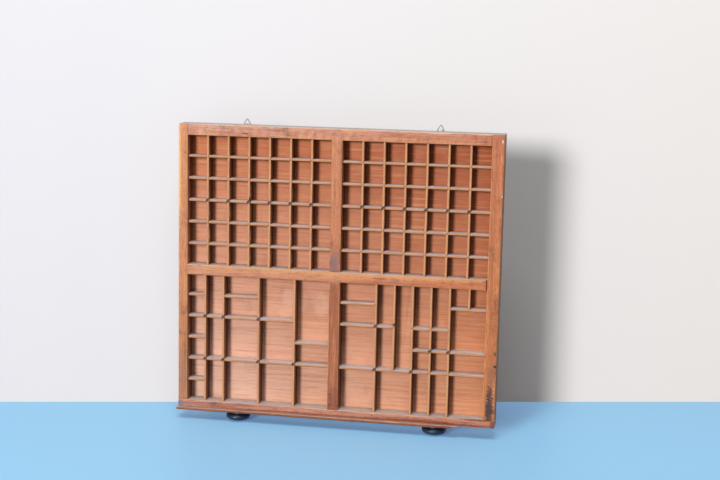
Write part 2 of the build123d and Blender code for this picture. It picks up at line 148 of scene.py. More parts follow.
def select_only(piece: Piece) -> None:
    """Make a piece the only selected one, and the active one.

    Args:
        piece: The piece.
    """
    bpy.ops.object.select_all(action="DESELECT")
    piece.select_set(True)
    bpy.context.view_layer.objects.active = piece


def apply_modifiers(piece: Piece) -> None:
    """Apply all modifiers of a piece in their order.

    Args:
        piece: The piece.
    """
    select_only(piece)
    for modifier in list(piece.modifiers):
        bpy.ops.object.modifier_apply(modifier=modifier.name)


def copy_node(node: str, name: str) -> Piece:
    """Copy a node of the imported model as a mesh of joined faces.

    Args:
        node: The node's name.
        name: The copy's name.

    Returns:
        The copy, selected, which stands for the node.
    """
    piece = bpy.data.objects.new(name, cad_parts[node].data.copy())
    bpy.context.scene.collection.objects.link(piece)
    select_only(piece)
    bpy.ops.object.mode_set(mode="EDIT")
    bpy.ops.mesh.select_all(action="SELECT")
    bpy.ops.mesh.remove_doubles(threshold=MERGE_MM * MM)
    bpy.ops.mesh.dissolve_limited(angle_limit=math.radians(FLAT_DEG))
    bpy.ops.object.mode_set(mode="OBJECT")
    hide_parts(node)
    return piece


def round_edges(piece: Piece, width_mm: float, segments: int = 2) -> None:
    """Round all sharp edges of a piece a little.

    Args:
        piece: The piece.
        width_mm: Width of the rounding.
        segments: Faces across the rounding.
    """
    bevel = piece.modifiers.new("rounding", "BEVEL")
    bevel.width = width_mm * MM
    bevel.segments = segments
    bevel.limit_method = "ANGLE"
    bevel.angle_limit = math.radians(SHARP_DEG)
    apply_modifiers(piece)


def cut_away(piece: Piece, cutter: Piece) -> None:
    """Cut one solid out of a piece and remove it.

    Args:
        piece: The piece.
        cutter: The solid.
    """
    cut = piece.modifiers.new("cut", "BOOLEAN")
    cut.operation = "DIFFERENCE"
    cut.object = cutter
    apply_modifiers(piece)
    bpy.data.objects.remove(cutter)


def smooth(piece: Piece, sharp_deg: float) -> None:
    """Shade a piece smooth, apart from edges sharper than an angle."""
    select_only(piece)
    bpy.ops.object.shade_smooth_by_angle(angle=math.radians(sharp_deg))


def dress(piece: Piece, material: Material) -> None:
    """Give a piece one material."""
    piece.data.materials.clear()
    piece.data.materials.append(material)


def new_material(name: str) -> tuple[Material, Tree, Node]:
    """Make an empty material.

    Args:
        name: The material's name.

    Returns:
        The material, its node tree and its shader node.
    """
    made = bpy.data.materials.new(name)
    made.use_nodes = True
    return made, made.node_tree, made.node_tree.nodes["Principled BSDF"]


def paint(tree: Tree, under: Socket | Colour, pattern: Socket, limits: Pair, depth: float,
          colour: str) -> Socket | Colour:
    """Lay a colour over what is there, as far as a pattern passes from one limit to another.

    Args:
        tree: The material's node tree.
        under: Colour below.
        pattern: Value that steers the layer.
        limits: Value of the pattern at which the layer starts, and at which it is full.
        depth: How far the full layer covers what is below, from 0, no layer, to 1.
        colour: Colour of the layer.

    Returns:
        The new colour.
    """
    if not depth:
        return under
    mask = add_node(tree, "MapRange",
                    {"Value": pattern, "From Min": limits[0], "From Max": limits[1],
                     "To Max": depth}, interpolation_type="SMOOTHSTEP")
    made = add_node(tree, "Mix",
                    {0: mask.outputs["Result"], 6: under, 7: linear(colour)}, data_type="RGBA")
    return made.outputs[2]


# --- Finishes --------------------------------------------------------------


@dataclass(frozen=True)
class Mark:
    """A stain, knock, paint fleck or painted highlight on the wood.

    Attributes:
        place: Centre, in mm.
        half: Half sizes along X, Y and Z, in mm.
        colour: Colour that the mark lays on the wood.
        strength: How far it covers the wood, from 0 to 1.
        edge: Softness of its outline, from 0, sharp, to 1.
        ragged: How far the wood's pores break it up.
    """

    place: Triple
    half: Triple
    colour: str
    strength: float = 0.85
    edge: float = 0.35
    ragged: float = 0.6

    def lay(self, tree: Tree, coords: Socket, mottle: Socket, under: Socket) -> Socket:
        """Lay the mark on a colour.

        Args:
            tree: The material's node tree.
            coords: Object coordinates, in metres.
            mottle: Fine noise from 0 to 1 that breaks the outline.
            under: Colour below.

        Returns:
            The new colour.
        """
        centre = tuple(value * MM for value in self.place)
        scale = tuple(1 / (value * MM) for value in self.half)
        away = add_node(tree, "VectorMath", {0: coords, 1: centre}, operation="SUBTRACT")
        sized = add_node(tree, "VectorMath", {0: away.outputs[0], 1: scale}, operation="MULTIPLY")
        reach = add_node(tree, "VectorMath", {0: sized.outputs[0]}, operation="LENGTH")
        broken = add_node(tree, "Math",
                          {0: mottle, 1: 2 * self.ragged, 2: reach.outputs["Value"]},
                          operation="MULTIPLY_ADD")
        middle = 1 + self.ragged
        return paint(tree, under, broken.outputs[0], (middle + self.edge, middle - self.edge),
                     self.strength, self.colour)


@dataclass(frozen=True)
class WoodFinish:
    """Beech, darkened by a century of hands, ink and thin shellac.

    Fibres give fine streaks along the board and pores short dark dashes. The
    arrises are rubbed pale, the inside of the compartments darkens towards the back,
    partly with grime and partly with painted shade, and grey dust lies on whatever
    faces up. Real fibres and pores are finer: they are drawn as coarse as they need
    to be to show.

    Attributes:
        name: Name of the material.
        run: Direction of the fibres.
        tones: Colours at the top left, top right, bottom left and bottom right.
        figure_mm: Width across and length along the fibres of the broad figure.
        fibre_mm: Width and length of a streak.
        pore_mm: Width and length of a pore.
        sheen: Level of the surface's mirroring.
        relief_mm: Depth of fibres and pores.
        deep_from_mm: Place from front to back at which the painted shade and grime start.
        deep_to_mm: Place at which they are full.
        side_mm: Outer part of the tray's sides that stays free of it.
        figure_share: Depth of the figure's dark bands, next to the fibres'.
        gloss_spread: What the fibres take from and add to the roughness.
        wear_breakup: How far blotches break up the rubbed arrises.
        dust_breakup: How far fibres break up the dust.
        marks: Stains, knocks, flecks and painted highlights.
    """

    name: str
    run: GrainRun
    tones: tuple[str, str, str, str]
    streak_colour: str = "#8e4a2c"
    bright_colour: str = "#eba06a"
    pore_colour: str = "#4b2418"
    grime_colour: str = "#5b3a33"
    worn_colour: str = "#f3bd86"
    deep_shade_and_grime_colour: str = "#452408"
    dust_colour: str = "#d6ccc6"
    figure_mm: Pair = (5.0, 120.0)
    fibre_mm: Pair = (1.1, 22.0)
    pore_mm: Pair = (0.7, 5.0)
    blotch_mm: float = 26.0
    mottle_mm: float = 2.4
    streak_depth: float = 0.5
    bright_depth: float = 0.35
    pore_depth: float = 0.6
    grime_depth: float = 0.3
    wear_depth: float = 0.6
    front_depth: float = 0.0
    deep_shade_and_grime_depth: float = 0.75
    dust_depth: float = 0.9
    roughness: float = 0.5
    sheen: float = 0.3
    relief_mm: float = 0.12
    deep_from_mm: float = -10.0
    deep_to_mm: float = -1.0
    side_mm: float = 4.5
    figure_share: float = 0.7
    gloss_spread: Pair = (-0.1, 0.12)
    wear_breakup: float = 0.35
    dust_breakup: float = -0.8
    marks: tuple[Mark, ...] = ()
    # Values of the patterns at which their layers start, and at which they are full.
    dark_figure: Pair = (0.50, 0.68)
    bright_figure: Pair = (0.48, 0.30)
    dark_fibre: Pair = (0.50, 0.70)
    bright_fibre: Pair = (0.46, 0.30)
    open_pore: Pair = (0.61, 0.72)
    grimy_blotch: Pair = (0.54, 0.74)
    facing_front: Pair = (-0.45, -0.85)
    rubbed_arris: Pair = (1.14, 0.98)
    dusty_top: Pair = (0.30, 0.62)

    def stretched(self, tree: Tree, coords: Socket, size: Pair, detail: float) -> Socket:
        """Noise that is drawn out along the fibres.

        Args:
            tree: The material's node tree.
            coords: Coordinates in metres.
            size: Width across and length along the fibres, in mm.
            detail: Octaves of the noise.

        Returns:
            The noise, from 0 to 1.
        """
        across, along = (1 / (value * MM) for value in size)
        scale = tuple(along if axis == self.run.value else across for axis in "xyz")
        place = add_node(tree, "VectorMath", {0: coords, 1: scale}, operation="MULTIPLY")
        grain = add_node(tree, "TexNoise",
                         {"Vector": place.outputs[0], "Scale": 1.0, "Detail": detail,
                          "Roughness": 0.6})
        return grain.outputs["Fac"]

    def base(self, tree: Tree, coords: Socket, low: Vector, high: Vector) -> Socket:
        """Blend the four corner tones over a piece.

        Args:
            tree: The material's node tree.
            coords: Object coordinates.
            low: Lowest corner of the piece.
            high: Highest corner of the piece.

        Returns:
            The blended colour.
        """
        places = add_node(tree, "SeparateXYZ", {0: coords})
        shares = [add_node(tree, "MapRange",
                           {"Value": places.outputs[axis], "From Min": low[axis],
                            "From Max": high[axis]}).outputs["Result"] for axis in (0, 2)]
        rows = [add_node(tree, "Mix",
                         {0: shares[0], 6: linear(left), 7: linear(right)},
                         data_type="RGBA").outputs[2]
                for left, right in (self.tones[2:], self.tones[:2])]
        return add_node(tree, "Mix", {0: shares[1], 6: rows[0], 7: rows[1]},
                        data_type="RGBA").outputs[2]

    def inside(self, tree: Tree, coords: Socket) -> Socket:
        """Measure how far inside the tray a point is.

        Args:
            tree: The material's node tree.
            coords: Object coordinates, in metres.

        Returns:
            The place from front to back, in metres and lifted above 0, or 0 on the
            tray's outer sides.
        """
        low, high = CAD_BOX
        places = add_node(tree, "SeparateXYZ", {0: coords})
        middle = (low.x + high.x) / 2
        level = add_node(tree, "Math", {0: places.outputs["X"], 1: middle}, operation="SUBTRACT")
        level = add_node(tree, "Math", {0: level.outputs[0]}, operation="ABSOLUTE")
        edge = (high.x - low.x) / 2 - self.side_mm * MM
        inner = add_node(tree, "Math", {0: level.outputs[0], 1: edge}, operation="LESS_THAN")
        back = add_node(tree, "Math", {0: places.outputs["Y"], 1: LIFT}, operation="ADD")
        return add_node(tree, "Math", {0: back.outputs[0], 1: inner.outputs[0]},
                        operation="MULTIPLY").outputs[0]

    def flatness(self, tree: Tree, normal: Socket) -> Socket:
        """Tell flat faces from rounded arrises.

        Args:
            tree: The material's node tree.
            normal: Direction in which the surface faces.

        Returns:
            The normal's largest part: 1 on a flat face, less on an arris.
        """
        level = add_node(tree, "VectorMath", {0: normal}, operation="ABSOLUTE")
        sides = add_node(tree, "SeparateXYZ", {0: level.outputs[0]})
        flat = sides.outputs["X"]
        for side in ("Y", "Z"):
            flat = add_node(tree, "Math", {0: flat, 1: sides.outputs[side]},
                            operation="MAXIMUM").outputs[0]
        return flat

    def material(self, low: Vector, high: Vector) -> Material:
        """Build the finish's material.

        Args:
            low: Lowest corner of the piece or pieces that wear it.
            high: Their highest corner.

        Returns:
            The material.
        """
        made, tree, shader = new_material(self.name)
        true_coords = add_node(tree, "TexCoord").outputs["Object"]
        board = add_node(tree, "Attribute", attribute_name=BOARD).outputs["Fac"]
        shift = add_node(tree, "VectorMath", {0: BOARD_SHIFT, "Scale": board}, operation="SCALE")
        coords = add_node(tree, "VectorMath", {0: true_coords, 1: shift.outputs[0]},
                          operation="ADD").outputs[0]
        colour = self.base(tree, true_coords, low, high)

        figure = self.stretched(tree, coords, self.figure_mm, detail=3.0)
        fibre = self.stretched(tree, coords, self.fibre_mm, detail=4.0)
        pore = self.stretched(tree, coords, self.pore_mm, detail=1.0)
        blotch = add_node(tree, "TexNoise",
                          {"Vector": coords, "Scale": 1 / (self.blotch_mm * MM),
                           "Detail": 4.0, "Roughness": 0.65}).outputs["Fac"]
        mottle = add_node(tree, "TexNoise",
                          {"Vector": coords, "Scale": 1 / (self.mottle_mm * MM),
                           "Detail": 3.0, "Roughness": 0.6}).outputs["Fac"]
        for pattern, limits, depth, tone in (
                (figure, self.dark_figure, self.streak_depth * self.figure_share,
                 self.streak_colour),
                (figure, self.bright_figure, self.bright_depth, self.bright_colour),
                (fibre, self.dark_fibre, self.streak_depth, self.streak_colour),
                (fibre, self.bright_fibre, self.bright_depth, self.bright_colour),
                (pore, self.open_pore, self.pore_depth, self.pore_colour),
                (blotch, self.grimy_blotch, self.grime_depth, self.grime_colour)):
            colour = paint(tree, colour, pattern, limits, depth, tone)

        normal = add_node(tree, "NewGeometry").outputs["Normal"]
        facing = add_node(tree, "SeparateXYZ", {0: normal})
        rubbed = add_node(tree, "Math",
                          {0: blotch, 1: self.wear_breakup, 2: self.flatness(tree, normal)},
                          operation="MULTIPLY_ADD")
        colour = paint(tree, colour, facing.outputs["Y"], self.facing_front, self.front_depth,
                       self.worn_colour)
        # Painted shade, partly grime: the inside of the tray darkens towards the back.
        if self.deep_shade_and_grime_depth:
            colour = paint(tree, colour, self.inside(tree, true_coords),
                           (LIFT + self.deep_from_mm * MM, LIFT + self.deep_to_mm * MM),
                           self.deep_shade_and_grime_depth, self.deep_shade_and_grime_colour)
        colour = paint(tree, colour, rubbed.outputs[0], self.rubbed_arris, self.wear_depth,
                       self.worn_colour)
        uneven = add_node(tree, "Math",
                          {0: fibre, 1: self.dust_breakup, 2: facing.outputs["Z"]},
                          operation="MULTIPLY_ADD")
        colour = paint(tree, colour, uneven.outputs[0], self.dusty_top, self.dust_depth,
                       self.dust_colour)
        for mark in self.marks:
            colour = mark.lay(tree, true_coords, mottle, colour)
        tree.links.new(colour, shader.inputs["Base Color"])

        gloss = add_node(tree, "MapRange",
                         {"Value": fibre, "From Min": 0.3, "From Max": 0.7,
                          "To Min": self.roughness + self.gloss_spread[0],
                          "To Max": self.roughness + self.gloss_spread[1]})
        tree.links.new(gloss.outputs["Result"], shader.inputs["Roughness"])
        shader.inputs["Specular IOR Level"].default_value = self.sheen
        relief = add_node(tree, "Math", {0: fibre, 1: pore}, operation="ADD")
        bump = add_node(tree, "Bump",
                        {"Height": relief.outputs[0], "Strength": 0.4,
                         "Distance": self.relief_mm * MM})
        tree.links.new(bump.outputs["Normal"], shader.inputs["Normal"])
        return made


@dataclass(frozen=True)
class PlywoodFinish(WoodFinish):
    """Rotary-cut birch plywood: fine even lines across, and its plies on the edges.

    Attributes:
        ply_count: Number of plies.
        thickness_mm: Thickness of the panel.
        face_from_mm: Place of its front face, from front to back.
        glue_colour: Colour of every second ply on the edges.
        back_colour: Colour of the bare back.
    """

    ply_count: int = 5
    thickness_mm: float = 6.35
    face_from_mm: float = 7.445
    glue_colour: str = "#6b4028"
    glue_depth: float = 0.6
    back_colour: str = "#a98a70"
    back_depth: float = 0.55
    ply_edge: Pair = (0.47, 0.53)
    facing_back: Pair = (0.5, 0.9)

    def material(self, low: Vector, high: Vector) -> Material:
        """Build the wood's material and add the plies and the greyer back.

        Args:
            low: Lowest corner of the panel.
            high: Its highest corner.

        Returns:
            The material.
        """
        made = super().material(low, high)
        tree = made.node_tree
        shader = tree.nodes["Principled BSDF"]
        colour = shader.inputs["Base Color"].links[0].from_socket
        normal = add_node(tree, "NewGeometry").outputs["Normal"]
        facing = add_node(tree, "SeparateXYZ", {0: normal})
        coords = add_node(tree, "TexCoord").outputs["Object"]
        place = add_node(tree, "SeparateXYZ", {0: coords})
        share = add_node(tree, "MapRange",
                         {"Value": place.outputs["Y"], "From Min": self.face_from_mm * MM,
                          "From Max": (self.face_from_mm + self.thickness_mm) * MM,
                          "To Max": self.ply_count / 2})
        ply = add_node(tree, "Math", {0: share.outputs["Result"]}, operation="FRACT")
        level = add_node(tree, "Math", {0: facing.outputs["Y"]}, operation="ABSOLUTE")
        edge = add_node(tree, "Math", {0: ply.outputs[0], 1: level.outputs[0]},
                        operation="SUBTRACT")
        colour = paint(tree, colour, edge.outputs[0], self.ply_edge, self.glue_depth,
                       self.glue_colour)
        colour = paint(tree, colour, facing.outputs["Y"], self.facing_back, self.back_depth,
                       self.back_colour)
        tree.links.new(colour, shader.inputs["Base Color"])
        return made


@dataclass(frozen=True)
class HardFinish:
    """Smooth hard finish, such as lacquer or bare metal, with faint soiling.

    Attributes:
        name: Name of the material.
        colour: Colour of the clean surface.
        soil_colour: Colour of rust, dust or rubbed places.
        soil_mm: Size of such a place.
        soil_depth: How far it covers the surface, from 0 to 1.
        relief_mm: Height of its unevenness.
        coat: Weight of a clear coat.
        soiled: Values of the noise at which soil starts, and at which it is full.
        gloss_spread: What soil takes from and adds to the roughness.
    """

    name: str
    colour: str
    soil_colour: str
    metallic: float = 0.0
    roughness: float = 0.3
    soil_mm: float = 3.0
    soil_depth: float = 0.3
    relief_mm: float = 0.03
    coat: float = 0.0
    soiled: Pair = (0.48, 0.72)
    gloss_spread: Pair = (-0.06, 0.14)

    def material(self) -> Material:
        """Build the finish's material.

        Returns:
            The material.
        """
        made, tree, shader = new_material(self.name)
        coords = add_node(tree, "TexCoord").outputs["Object"]
        soil = add_node(tree, "TexNoise",
                        {"Vector": coords, "Scale": 1 / (self.soil_mm * MM), "Detail": 5.0,
                         "Roughness": 0.7}).outputs["Fac"]
        colour = paint(tree, linear(self.colour), soil, self.soiled, self.soil_depth,
                       self.soil_colour)
        tree.links.new(colour, shader.inputs["Base Color"])
        rough = add_node(tree, "MapRange",
                         {"Value": soil, "From Min": 0.3, "From Max": 0.7,
                          "To Min": self.roughness + self.gloss_spread[0],
                          "To Max": self.roughness + self.gloss_spread[1]}).outputs["Result"]
        tree.links.new(rough, shader.inputs["Roughness"])
        shader.inputs["Metallic"].default_value = self.metallic
        shader.inputs["Coat Weight"].default_value = self.coat
        bump = add_node(tree, "Bump",
                        {"Height": soil, "Strength": 0.3, "Distance": self.relief_mm * MM})
        tree.links.new(bump.outputs["Normal"], shader.inputs["Normal"])
        return made


# --- Wooden boards ---------------------------------------------------------


@dataclass
class Joinery:
    """How boards are sliced, rounded, worn and warped.

    Attributes:
        rounding_mm: Rounding of the sharp edges.
        slice_mm: Distance between the cuts that let a board bend and wear.
        wear_mm: Deepest wear of the front.
        wear_size_mm: Length of one hollow in the front.
        front_mm: How far back from the front the wear fades out.
        arris_mm: Width of the front arrises as packed.
        arris_growth: How much wider the most worn stretch of an arris is.
        arris_size_mm: Length of one such stretch.
        warp_mm: How far a slip strays sideways.
        warp_size_mm: Length of one bend.
        smooth_deg: Angle past which an edge looks sharp.
    """

    rounding_mm: float = 0.3
    slice_mm: float = 6.0
    wear_mm: float = 0.3
    wear_size_mm: float = 12.0
    front_mm: float = 2.0
    arris_mm: float = 1.0
    arris_growth: float = 1.6
    arris_size_mm: float = 18.0
    warp_mm: float = 0.0
    warp_size_mm: float = 60.0
    smooth_deg: float = 35.0

    def board(self, node: str, run: GrainRun, material: Material) -> Piece:
        """Make the worn board, or set of boards, that stands for a node.

        Args:
            node: Name of the node.
            run: Direction of its fibres.
            material: Its finish.

        Returns:
            The worn boards.
        """
        piece = copy_node(node, f"worn_{node}")
        self.slice(piece, run)
        round_edges(piece, self.rounding_mm)
        self.wear_arrises(piece, run)
        self.wear(piece, run)
        self.number_boards(piece)
        smooth(piece, self.smooth_deg)
        dress(piece, material)
        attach(piece, TRAY)
        log.info("boards %s", node)
        return piece

    def slice(self, piece: Piece, run: GrainRun) -> None:
        """Cut a piece's faces at even steps along its fibres.

        Args:
            piece: The boards.
            run: Direction of their fibres.
        """
        axis = run.axis()
        places = [vertex.co[axis] for vertex in piece.data.vertices]
        low, high = min(places), max(places)
        normal = tuple(1.0 if place == axis else 0.0 for place in range(3))
        count = int((high - low) / (self.slice_mm * MM))
        bpy.ops.object.mode_set(mode="EDIT")
        for step in range(1, count):
            bpy.ops.mesh.select_all(action="SELECT")
            point = tuple((low + (high - low) * step / count) * part for part in normal)
            bpy.ops.mesh.bisect(plane_co=point, plane_no=normal)
        bpy.ops.object.mode_set(mode="OBJECT")

    def wear_arrises(self, piece: Piece, run: GrainRun) -> None:
        """Widen the rounded front arrises of a single board unevenly along it.

        Args:
            piece: The board.
            run: Direction of its fibres.
        """
        side = run.cross_axis()
        spots = [vertex.co for vertex in piece.data.vertices]
        front = min(spot.y for spot in spots)
        low = min(spot[side] for spot in spots)
        high = max(spot[side] for spot in spots)
        reach = self.arris_mm * MM
        for spot in spots:
            for edge, inwards in ((low, 1), (high, -1)):
                across = (spot[side] - edge) * inwards
                deep = spot.y - front
                if across < reach and deep < reach:
                    hollow = noise.noise(spot / (self.arris_size_mm * MM)
                                         + Vector((edge / MM, 0, 0)))
                    growth = self.arris_growth * min(max(0.5 + hollow, 0.0), 1.0)
                    spot[side] += inwards * across * growth
                    spot.y += deep * growth

    def wear(self, piece: Piece, run: GrainRun) -> None:
        """Press the front in unevenly, and let a slip stray sideways.

        Args:
            piece: The boards.
            run: Direction of their fibres.
        """
        front = min(vertex.co.y for vertex in piece.data.vertices)
        reach = self.front_mm * MM
        group = piece.vertex_groups.new(name="front")
        for vertex in piece.data.vertices:
            weight = 1 - (vertex.co.y - front) / reach
            if weight > 0:
                group.add([vertex.index], min(weight, 1.0), "REPLACE")
        sideways = "XYZ"[run.cross_axis()]
        moves = (("wear", self.wear_mm, self.wear_size_mm, "Y", 0.0, group.name),
                 ("warp", self.warp_mm, self.warp_size_mm, sideways, 0.5, ""))
        for name, depth, size, direction, middle, where in moves:
            if not depth:
                continue
            clouds = bpy.data.textures.new(name, "CLOUDS")
            clouds.noise_scale = size * MM
            clouds.noise_depth = 2
            push = piece.modifiers.new(name, "DISPLACE")
            push.texture = clouds
            push.texture_coords = "LOCAL"
            push.direction = direction
            push.mid_level = middle
            push.strength = depth * MM
            push.vertex_group = where
        apply_modifiers(piece)

    def number_boards(self, piece: Piece) -> None:
        """Write a number from 0 to 1 on each separate board of a piece.

        Args:
            piece: The boards.
        """
        mesh = piece.data
        parent = list(range(len(mesh.vertices)))

        def root(place: int) -> int:
            """Find the vertex that stands for a board.

            Args:
                place: Number of a vertex of the board.

            Returns:
                Number of the vertex that stands for it.
            """
            while parent[place] != place:
                parent[place] = parent[parent[place]]
                place = parent[place]
            return place

        for edge in mesh.edges:
            first, second = (root(place) for place in edge.vertices)
            parent[max(first, second)] = min(first, second)
        draw = random.Random(piece.name)
        numbers: dict[int, float] = {}
        attribute = mesh.attributes.new(BOARD, "FLOAT", "POINT")
        for place in range(len(parent)):
            owner = root(place)
            if owner not in numbers:
                numbers[owner] = draw.random()
            attribute.data[place].value = numbers[owner]


@dataclass(frozen=True)
class Knock:
    """A chip knocked out of an edge.

    Attributes:
        node: Name of the board's node.
        place: Centre, in mm.
        half: Half sizes along X, Y and Z, in mm.
    """

    node: str
    place: Triple
    half: Triple


@dataclass
class TrayFrame:
    """Stiles, rails, mullions and the strip, each with its own tones and marks.

    Attributes:
        joinery: How its boards are worn.
        knocks: Chips knocked out of their edges.
    """

    joinery: Joinery
    knocks: tuple[Knock, ...] = (
        Knock("left_stile", (-209.2, -14.2, 170.8), (1.7, 2.4, 2.3)),
        Knock("left_stile", (-208.9, -14.4, 391.8), (1.6, 1.8, 1.5)),
        Knock("left_stile", (-209.3, -14.2, 92.0), (1.3, 1.6, 3.0)),
        Knock("right_stile", (211.0, -14.3, 284.0), (1.2, 1.6, 2.6)),
        Knock("right_stile", (210.9, -14.3, 391.9), (1.8, 1.6, 1.4)),
        Knock("front_rail", (211.0, -14.4, 16.0), (2.4, 2.2, 1.6)),
        Knock("front_rail", (183.0, -14.6, 15.9), (5.0, 1.5, 1.0)),
        Knock("top_rail", (35.0, -14.6, 391.9), (3.2, 1.2, 1.1)),
        Knock("front_strip", (-96.0, -16.9, 12.3), (3.4, 1.2, 0.9)),
        Knock("front_strip", (44.0, -16.9, 12.3), (2.2, 1.3, 1.1)),
    )

    def finishes(self) -> dict[str, WoodFinish]:
        """List the finishes of the frame's boards.

        Returns:
            The finish of each board, by the name of its node.
        """
        # Planed beech under old thin shellac: brown with fine darker streaks, a dull
        # gloss, pale rubbed arrises, and ink and knocks at the corners. The boards are
        # paler and pinker towards the left and more orange towards the right: partly the
        # wood's own tone, partly painted sheen from the light on the left.
        across = GrainRun.ACROSS
        beech = partial(WoodFinish, run=GrainRun.UP, grime_depth=0.5, blotch_mm=15.0)
        ink, soot, fleck = "#2c2230", "#1f1a22", "#eee4dc"
        return {
            "left_stile": beech(
                name="beech_left_stile",
                tones=("#d99167", "#d99167", "#be7f57", "#be7f57"),
                marks=(Mark((-199.2, -14, 354.7), (0.8, 3, 0.8), soot),
                       Mark((-208.3, -14, 170.8), (1.5, 4, 2.4), soot, 0.95),
                       # Painted highlight on the worn, rounded left arris, lit by the light from
                       # the left.
                       Mark((-209.2, -13, 335.0), (3.4, 4.4, 80), "#ffc56a", 0.95, 0.45, 0.5),
                       Mark((-209.2, -13, 220.0), (2.0, 3.0, 70), "#f5b878", 0.8, 0.6, 0.6),
                       Mark((-202.0, -14, 60.0), (5.0, 3, 30), "#8a6a5e", 0.5, 0.5, 0.8))),
            "right_stile": beech(
                name="beech_right_stile",
                tones=("#b86842", "#b86842", "#c1763f", "#c1763f"),
                marks=(Mark((208.0, -14, 383.1), (0.7, 3, 1.6), fleck),
                       Mark((209.6, -14, 314.8), (0.9, 3, 1.0), fleck),
                       Mark((208.2, -14, 114.6), (1.3, 3, 2.0), ink, 0.8, 0.35, 0.8),
                       Mark((208.6, -14, 97.5), (2.6, 3, 1.7), soot, 0.95, 0.3, 0.5),
                       Mark((204.5, -14, 84.0), (4.0, 3, 14.0), "#7a5a50", 0.6, 0.6, 1.3),
                       Mark((203.5, -14, 62.0), (3.8, 3, 10.0), ink, 0.75, 0.4, 1.2),
                       Mark((203.0, -14, 41.0), (5.0, 3, 17.0), ink, 0.92, 0.4, 0.95))),
            "upper_mullion": beech(
                name="beech_upper_mullion",
                tones=("#c9815a", "#c9815a", "#c37852", "#c37852"),
                marks=(Mark((-0.6, -14, 217.0), (5.6, 3, 17.0), "#6f6470", 0.6, 0.5, 1.3),)),
            "lower_mullion": beech(
                name="beech_lower_mullion",
                tones=("#a86240", "#a86240", "#a05c3e", "#a05c3e"),
                marks=(Mark((-4.0, -14, 46.3), (1.0, 3, 1.3), ink),
                       Mark((-3.2, -14, 41.2), (1.2, 3, 1.0), ink),
                       Mark((-4.0, -14, 32.4), (1.4, 3, 1.6), ink),
                       Mark((3.6, -14, 36.8), (1.1, 3, 1.3), ink),
                       Mark((4.4, -14, 31.7), (1.2, 3, 1.2), ink),
                       Mark((0.0, -14, 38.0), (6.0, 3, 13.0), "#7c4232", 0.5, 0.5, 1.2))),
            "top_rail": beech(
                name="beech_top_rail", run=across, dust_colour="#efe8e2", dust_depth=0.75,
                tones=("#cc9580", "#bd7554", "#c1886e", "#b66d4b"),
                marks=(Mark((-120.4, -14, 381.8), (4.2, 3, 0.8), ink, 0.95, 0.3, 0.3),
                       Mark((-196.3, -14, 384.0), (0.5, 3, 9.5), "#3a1f18", 0.95, 0.3, 0.2))),
            "cross_rail": beech(
                name="beech_cross_rail", run=across, wear_depth=0.4, grime_depth=0.45,
                tones=("#d59b7d", "#c27147", "#d09270", "#bf6c42"),
                marks=(Mark((78.0, -14, 201.0), (7.0, 3, 3.0), "#8a6a5c", 0.45, 0.5, 0.9),
                       Mark((60.0, -14, 203.0), (8.0, 3, 1.0), "#7a3d28", 0.6, 0.5, 0.8))),
            "front_rail": beech(
                name="beech_front_rail", run=across, streak_depth=0.9,
                streak_colour="#8a3b26", figure_mm=(3.0, 160.0), wear_depth=0.4,
                tones=("#cb9582", "#c48266", "#bd8570", "#b57557"),
                marks=(Mark((-205.2, -14, 21.0), (3.6, 3, 5.0), "#66748e", 0.6, 0.5, 0.8),
                       Mark((120.0, -14, 18.4), (85.0, 3, 1.8), "#7a3320", 0.75, 0.5, 1.2),
                       Mark((-70.0, -14, 18.0), (95.0, 3, 1.5), "#8a3e2a", 0.65, 0.5, 1.2),
                       Mark((190.0, -14, 26.4), (24.0, 3, 1.6), "#4a3038", 0.8, 0.5, 1.0),
                       Mark((208.0, -14, 21.0), (3.0, 3, 6.0), "#5a3430", 0.6, 0.5, 1.0))),
            "front_strip": beech(
                name="beech_front_strip", run=across, streak_depth=0.65,
                wear_depth=0.4, streak_colour="#5a2a1a", bright_colour="#bd7450",
                dust_depth=0.75, dust_colour="#dccfc8", worn_colour="#c88a64",
                tones=("#a06a50", "#9a5c40", "#844f3c", "#7e4832")),
        }

    def knock(self, piece: Piece, chip: Knock) -> None:
        """Knock a chip out of an edge.

        Args:
            piece: The board.
            chip: The chip.
        """
        bpy.ops.object.select_all(action="DESELECT")
        bpy.ops.mesh.primitive_ico_sphere_add(subdivisions=2, radius=1.0)
        cutter = bpy.context.active_object
        shape = Matrix.Diagonal((*(value * MM for value in chip.half), 1.0))
        cutter.data.transform(Matrix.Translation(Vector(chip.place) * MM) @ shape)
        cut_away(piece, cutter)

    def build(self) -> None:
        """Build the frame's boards."""
        for node, finish in self.finishes().items():
            piece = self.joinery.board(node, finish.run, finish.material(*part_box(node)))
            for chip in self.knocks:
                if chip.node == node:
                    self.knock(piece, chip)


@dataclass
class BackPanel:
    """Plywood panel behind the compartments."""

    joinery: Joinery
    node: str = "back_panel"

    def build(self) -> None:
        """Build the panel."""
        # Bare rotary-cut birch plywood: fine even lines and little gloss, deeper in
        # colour at its top, with a few pale patches.
        finish = PlywoodFinish(
            name="birch_plywood", run=GrainRun.ACROSS,
            tones=("#d2763f", "#a0420e", "#f0c8b4", "#d48c60"),
            streak_colour="#b05a2a", bright_colour="#eaa878", pore_colour="#8a4a2e",
            fibre_mm=(0.55, 30.0), pore_mm=(0.6, 9.0), figure_mm=(3.0, 120.0),
            bright_depth=0.4, pore_depth=0.15, grime_depth=0.2,
            deep_shade_and_grime_depth=0.0, relief_mm=0.08, roughness=0.55,
            marks=(Mark((-65.0, 7, 166.0), (9.0, 3, 11.0), "#edc0a6", 0.3, 0.3, 0.6),
                   Mark((-68.8, 7, 147.0), (9.5, 3, 6.0), "#edc0a6", 0.3, 0.3, 0.6),
                   Mark((-21.5, 7, 160.0), (9.0, 3, 16.0), "#edc0a6", 0.3, 0.4, 0.8)))
        material = finish.material(*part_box(self.node))
        piece = self.joinery.board(self.node, finish.run, material)


